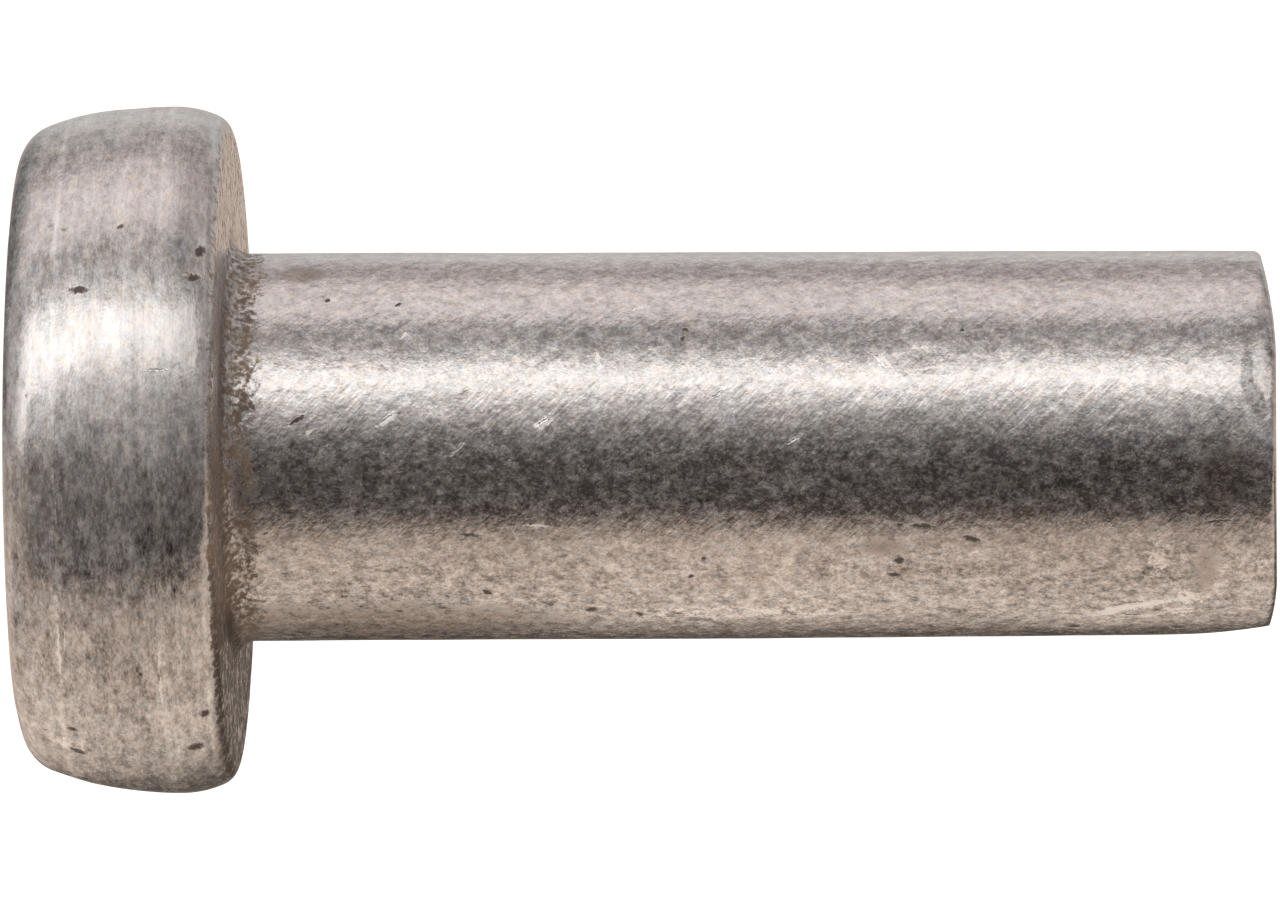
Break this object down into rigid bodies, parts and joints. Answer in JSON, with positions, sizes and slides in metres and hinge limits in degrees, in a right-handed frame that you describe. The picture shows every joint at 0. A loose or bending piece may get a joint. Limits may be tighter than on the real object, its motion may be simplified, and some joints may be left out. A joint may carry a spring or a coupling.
{
  "type": "flat head rivet",
  "caption": "Solid flat head rivet of bare steel: a low disc head with a rounded edge on a plain round shank with a sheared end.",
  "frame": {"origin": "centre of the head's flat outer face, on which the rivet stands", "axes": "+Z along the shank, from the head to the sheared end; +X towards the side of the end that the shear rolled over"},
  "size_m": [0.0106, 0.0106, 0.0195],
  "materials": {
    "steel": "bare tumbled steel, dull satin, with fine scratches and brown grime where the head meets the shank"
  },
  "bodies": {
    "root": {"rivet": "steel"}
  },
  "joints": []
}
